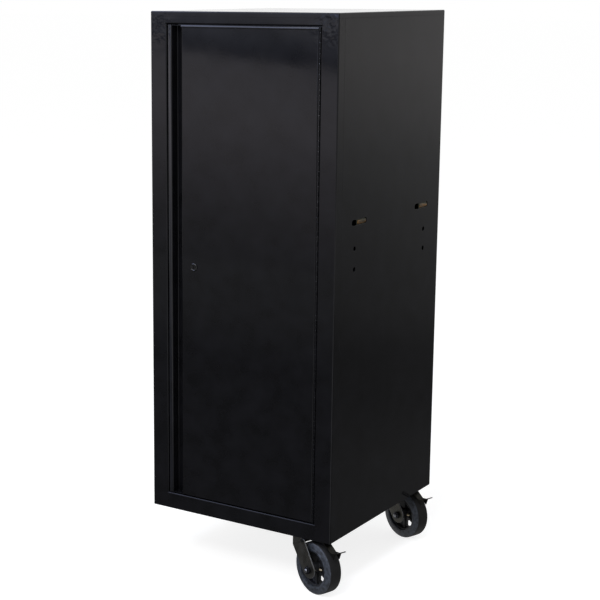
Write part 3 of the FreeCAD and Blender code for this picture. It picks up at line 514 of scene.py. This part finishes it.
# The rear fork's cheeks are a darker copy of the front's: painted shade on the rear caster.
forkCheeksRearShaded = {"front": ("#585753", "#4a4945"), "rear": ("#4b4a46", "#3f3e3a")}
for place, cheek in forkCheeksRearShaded.items():
    axle = joints["wheel_" + place + "_spin"]["axis"]
    ownFinish["caster_fork_" + place] = forkSteel(place + "ForkSteel", axle, cheek)
paintedSheenCoat = blackPowderCoat("pullCoatPaintedSheen", 1.4, "#0d0e12", "#15161c")   # a slightly lighter, bluer copy of the black coat with a higher IOR: painted sheen on the pull's face and the door's roll, which also reflect more
pullFace = 0.0006                            # how deep the pull's front face with the painted sheen reaches


# Every CAD node keeps its mesh. One node group joins its loose triangles and keeps its creases sharp,
# and a small bevel gives its edges the radius that paint and tumbling leave.
def geometryGroup(name):                     # a modifier group with a geometry input and output
    group = bpy.data.node_groups.new(name, "GeometryNodeTree")
    for direction in ("INPUT", "OUTPUT"):
        group.interface.new_socket("Geometry", in_out=direction, socket_type="NodeSocketGeometry")
    return group, addNode(group, "NodeGroupInput").outputs[0]


def edgeShading(crease, join):
    group, source = geometryGroup("edgeShading")
    bare = addNode(group, "GeometryNodeRemoveAttribute", {"Name": "custom_normal"}, {"Geometry": source})
    joined = addNode(group, "GeometryNodeMergeByDistance", {"Distance": join},
                     {"Geometry": bare.outputs[0]})
    smooth = addNode(group, "GeometryNodeSetShadeSmooth", {"Shade Smooth": True},
                     {"Geometry": joined.outputs[0]})
    angle = addNode(group, "GeometryNodeInputMeshEdgeAngle")
    sharp = addNode(group, "FunctionNodeCompare", {"operation": "GREATER_THAN", 1: crease},
                    {0: angle.outputs[0]})
    creased = addNode(group, "GeometryNodeSetShadeSmooth", {"domain": "EDGE", "Shade Smooth": False},
                      {"Geometry": smooth.outputs[0], "Selection": sharp.outputs[0]})
    addNode(group, "NodeGroupOutput", None, {0: creased.outputs[0]})
    return group


def frontFace(finish, limit):                # faces wholly in front of a depth get this finish
    group, source = geometryGroup("frontFace")
    place = addNode(group, "GeometryNodeInputPosition")
    depth = addNode(group, "ShaderNodeSeparateXYZ", None, {0: place.outputs[0]}).outputs["Y"]
    front = addNode(group, "FunctionNodeCompare", {"operation": "LESS_THAN", 1: limit}, {0: depth})
    dressed = addNode(group, "GeometryNodeSetMaterial", {"Material": finish},
                      {"Geometry": source, "Selection": front.outputs[0]})
    addNode(group, "NodeGroupOutput", None, {0: dressed.outputs[0]})
    return group


edges = {"crease": math.radians(32), "join": 0.00001, "bevel": 0.0003, "forkBevel": 0.001, "segments": 2}
shading = edgeShading(edges["crease"], edges["join"])
slotOf = {part["node"]: part["material_slot"] for part in frame["record"]["subparts"]}
for name, node in nodes.items():
    node.data.materials.clear()
    node.data.materials.append(ownFinish.get(name, finishes[slotOf[name]]))
    node.modifiers.new("edgeShading", "NODES").node_group = shading
    rounding = node.modifiers.new("edgeRounding", "BEVEL")
    rounding.width = edges["forkBevel"] if name.startswith("caster_fork") else edges["bevel"]
    rounding.segments = edges["segments"]
    rounding.limit_method = "ANGLE"
    rounding.angle_limit = edges["crease"]
    flats = node.modifiers.new("flatFaces", "WEIGHTED_NORMAL")   # broad faces stay flat beside their bends
    flats.keep_sharp = True
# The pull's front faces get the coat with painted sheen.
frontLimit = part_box("door_pull")[0].y + pullFace
dressing = nodes["door_pull"].modifiers.new("frontFace", "NODES")
dressing.node_group = frontFace(paintedSheenCoat, frontLimit)
print("finishes on the frame set")


# Pieces made here. Each surface is a grid of points: its rows follow a profile, its columns a path.
def gridPiece(name, points, body, finish, closedProfile=True, closedPath=True):
    rows, columns = points.shape[:2]
    row = np.arange(rows if closedProfile else rows - 1)[:, None]
    column = np.arange(columns if closedPath else columns - 1)[None, :]
    nextRow = (row + 1) % rows
    nextColumn = (column + 1) % columns
    faces = np.stack([row * columns + column, row * columns + nextColumn,
                      nextRow * columns + nextColumn, nextRow * columns + column], -1)
    faces = faces.reshape(-1, 4).tolist()
    if not closedProfile:                    # flat ends on an open profile
        faces += [list(range(columns)), list(range((rows - 1) * columns, rows * columns))]
    if not closedPath:                       # flat ends on an open path
        faces += [[i * columns for i in range(rows)], [(i + 1) * columns - 1 for i in range(rows)]]
    mesh = bpy.data.meshes.new(name)
    mesh.from_pydata(points.reshape(-1, 3).tolist(), [], faces)
    shell = bmesh.new()
    shell.from_mesh(mesh)
    bmesh.ops.recalc_face_normals(shell, faces=shell.faces)
    shell.to_mesh(mesh)
    shell.free()
    mesh.materials.append(finish)
    piece = intoScene(name, mesh)
    piece.modifiers.new("edgeShading", "NODES").node_group = shading
    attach(piece, body)
    return piece


def evenTurn(count):                         # a full turn in even steps, in radians
    return np.arange(count) * 2 * math.pi / count


def wheelLine(place):                        # centre and direction of a caster's axle
    joint = joints["wheel_" + place + "_spin"]
    return np.array(joint["pos_m"]), np.array(joint["axis"]) / np.linalg.norm(joint["axis"])


def turnedPoints(profile, centre, axis, columns):
    # each profile point, a radius and a place along an axis that isn't upright, swept round it in even
    # steps
    axis = np.array(axis) / np.linalg.norm(axis)
    side = np.cross(axis, (0, 0, 1))
    side = side / np.linalg.norm(side)
    across = np.cross(axis, side)
    angle = evenTurn(columns)
    ring = np.cos(angle)[:, None] * side + np.sin(angle)[:, None] * across
    radius, place = np.array(profile).T
    return np.array(centre) + radius[:, None, None] * ring + place[:, None, None] * axis


def filleted(corners, radius, steps):
    # a closed profile with every corner rounded by a quadratic curve that starts one radius away, or
    # less than halfway along a shorter side
    corners = np.array(corners, float)
    before = np.roll(corners, 1, 0) - corners
    after = np.roll(corners, -1, 0) - corners
    beforeLength = np.linalg.norm(before, axis=1)[:, None]
    afterLength = np.linalg.norm(after, axis=1)[:, None]
    reach = np.minimum(radius, 0.45 * np.minimum(beforeLength, afterLength))
    start = (corners + before / beforeLength * reach)[:, None]
    stop = (corners + after / afterLength * reach)[:, None]
    t = np.linspace(0, 1, steps)[None, :, None]
    return ((1 - t) ** 2 * start + 2 * t * (1 - t) * corners[:, None] + t ** 2 * stop).reshape(-1, 2)


# Tyres: a rounded profile swept round the axle. Grease nipples: a profile swept round a line that
# leaves the axle almost level.
tyre = {
    "radius": 0.0635, "bore": 0.043, "beadHalf": 0.02, "treadHalf": 0.0163,
    "bulge": 2.2,                            # power of the sidewall's fall from the bead to the shoulder
    "shoulder": 0.002, "chamfer": 0.0008,    # where the fall ends below the tread, and its corner's inset
    "crown": 0.0004,                         # tread's middle above its corners
    "ring": 0.0004, "ringAt": (0.0475, 0.0585), "ringWidth": 0.0012,   # raised rings on each sidewall
    "between": (0.051, 0.054, 0.0561),       # radii of the points between the rings
    "treadFrom": 0.0011,                     # the tread's coat starts this far below the radius
    "fillet": 0.0004, "filletSteps": 3, "columns": 144,
}
nipple = {
    "angle": -3.0, "offset": -0.007,         # degrees above level, and metres along the axle
    "profile": [(0.0030, 0.0128), (0.0032, 0.0150), (0.0032, 0.0160), (0.0024, 0.0166), (0.0022, 0.0190),
                (0.0018, 0.0200), (0.0009, 0.0206)],
    "columns": 24,
}


def tyreCorners():
    # half the profile from bead to tread, whose half width falls with a power of the share of its
    # height and carries two raised rings, then its mirror image
    t = tyre
    end = t["radius"] - t["shoulder"]
    marks = [(at + step * t["ringWidth"], lift) for at in t["ringAt"]
             for step, lift in ((-1, 0), (-0.5, 1), (0.5, 1), (1, 0))]
    marks += [(at, 0) for at in (t["bore"], *t["between"], end)]
    radius, lift = np.array(sorted(marks)).T
    fall = ((radius - t["bore"]) / (end - t["bore"])) ** t["bulge"]
    halfWidth = t["beadHalf"] - (t["beadHalf"] - t["treadHalf"]) * fall + lift * t["ring"]
    half = list(zip(radius, halfWidth))
    half += [(t["radius"] - t["crown"], t["treadHalf"] - t["chamfer"]),
             (t["radius"] - t["crown"] / 4, t["treadHalf"] / 2)]
    return half + [(r, -w) for r, w in reversed(half)]


tyreProfile = filleted(tyreCorners(), tyre["fillet"], tyre["filletSteps"])
isTread = (tyreProfile[:, 0] > tyre["radius"] - tyre["treadFrom"]).astype(np.float32)
for place in ("front", "rear"):
    centre, axle = wheelLine(place)
    wheel = "wheel_" + place
    points = turnedPoints(tyreProfile, centre, axle, tyre["columns"])
    rubber = gridPiece("tyreMoulded_" + place, points, wheel, finishes["tyre"])
    tread = rubber.data.attributes.new("tread", "FLOAT", "POINT")
    tread.data.foreach_set("value", np.repeat(isTread, tyre["columns"]))
    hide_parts("tyre_" + place)
    level = np.cross(axle, (0, 0, 1))
    level = level if level[0] > 0 else -level
    angle = math.radians(nipple["angle"])
    outward = level * math.cos(angle) + np.array((0, 0, math.sin(angle)))
    points = turnedPoints(nipple["profile"], centre + axle * nipple["offset"], outward, nipple["columns"])
    brass = gridPiece("greaseNipple_" + place, points, wheel, nippleBrass, closedProfile=False)
print("tyres and grease nipples made")


# Bezel ring: a profile swept round the plug, whose inner cone leans towards it and outer cone away.
bezel = {
    "centre": (0.124, 0.0, 0.754),
    "profile": [(0.0062, 0.0012), (0.0062, 0.0021), (0.0077, 0.0032), (0.0080, 0.0032), (0.0094, 0.0018),
                (0.0094, 0.0012)],
    "fillet": 0.0003, "filletSteps": 3, "columns": 96,
}
bezelProfile = filleted(bezel["profile"], bezel["fillet"], bezel["filletSteps"])
points = turnedPoints(bezelProfile, world(*bezel["centre"]), (0, -1, 0), bezel["columns"])
ring = gridPiece("lockBezelRing", points, "door", finishes["lock_black"])

# Rolled edge: an ellipse drawn along the door's top edge, whose front half stands proud of the skin.
roll = {
    "start": (0.0887, 0, 1.3208), "length": 0.3689, "depth": 0.0020, "half": 0.0032,
    "rows": 32, "columns": 9,
}
turn = evenTurn(roll["rows"])
section = np.stack([turn * 0, roll["depth"] * np.cos(turn), roll["half"] * np.sin(turn)], -1)
path = np.linspace(0, roll["length"], roll["columns"])[:, None] * (1, 0, 0) + world(*roll["start"])
points = section[:, None] + path[None]
# The roll wears the coat with painted sheen.
bend = gridPiece("doorTopRoll", points, "door", paintedSheenCoat, closedPath=False)

# Hook beads: the keeper's pressed bead fills the rear share of each slot, a flat half ellipse drawn
# along the slot whose height and depth shrink to nothing at both ends along a quarter ellipse.
bead = {
    "starts": {"Front": 0.0755, "Rear": 0.3935}, "length": 0.071, "open": 0.4, "tip": 0.003,
    "gap": 0.0012,                           # left at the slot's rear end
    "least": 0.02,                           # share of the section at the bead's very ends
    "face": 0.5062, "depth": 0.0014, "half": 0.0048, "height": 0.8827, "columns": 40, "rows": 28,
}
for place, start in bead["starts"].items():
    first = start + bead["length"] * bead["open"]
    last = start + bead["length"] - bead["gap"]
    along = np.linspace(0, 1, bead["columns"])
    run = first + (last - first) * (1 - np.cos(along * math.pi)) / 2
    inset = np.minimum(run - first, last - run)
    rise = 1 - (1 - np.minimum(inset / bead["tip"], 1)) ** 2
    swell = np.sqrt(np.clip(rise, bead["least"] ** 2, 1))
    turn = evenTurn(bead["rows"])
    out = bead["face"] + bead["depth"] * np.cos(turn)[:, None] * swell
    up = bead["height"] + bead["half"] * np.sin(turn)[:, None] * swell
    points = np.stack([out, np.broadcast_to(run, up.shape), up], -1) + world(0, 0, 0)
    pressed = gridPiece("hookBead" + place, points, "cabinet", finishes["yellow_zinc"], closedPath=False)

# Axle tips: the bolt's end past its nut, a low dome swept round the axle.
axleTip = {
    "profile": [(0.0048, -0.0004), (0.0047, 0.0004), (0.0041, 0.0012), (0.0030, 0.0018), (0.0016, 0.0021),
                (0.0004, 0.0022)],
    "columns": 32,
}
for place in ("front", "rear"):
    centre, axle = wheelLine(place)
    mesh = nodes["axle_bolt_" + place].data
    corners = np.empty(len(mesh.vertices) * 3, np.float32)
    mesh.vertices.foreach_get("co", corners)
    along = (corners.reshape(-1, 3) - centre) @ axle
    reach = along[np.abs(along).argmax()]    # the bolt's far end, on whichever side it is
    outward = axle * math.copysign(1, reach)
    points = turnedPoints(axleTip["profile"], centre + axle * reach, outward, axleTip["columns"])
    tip = gridPiece("axleTip_" + place, points, "swivel_" + place, boltTip, closedProfile=False)
print("bezel ring, door roll, hook beads and axle tips made")
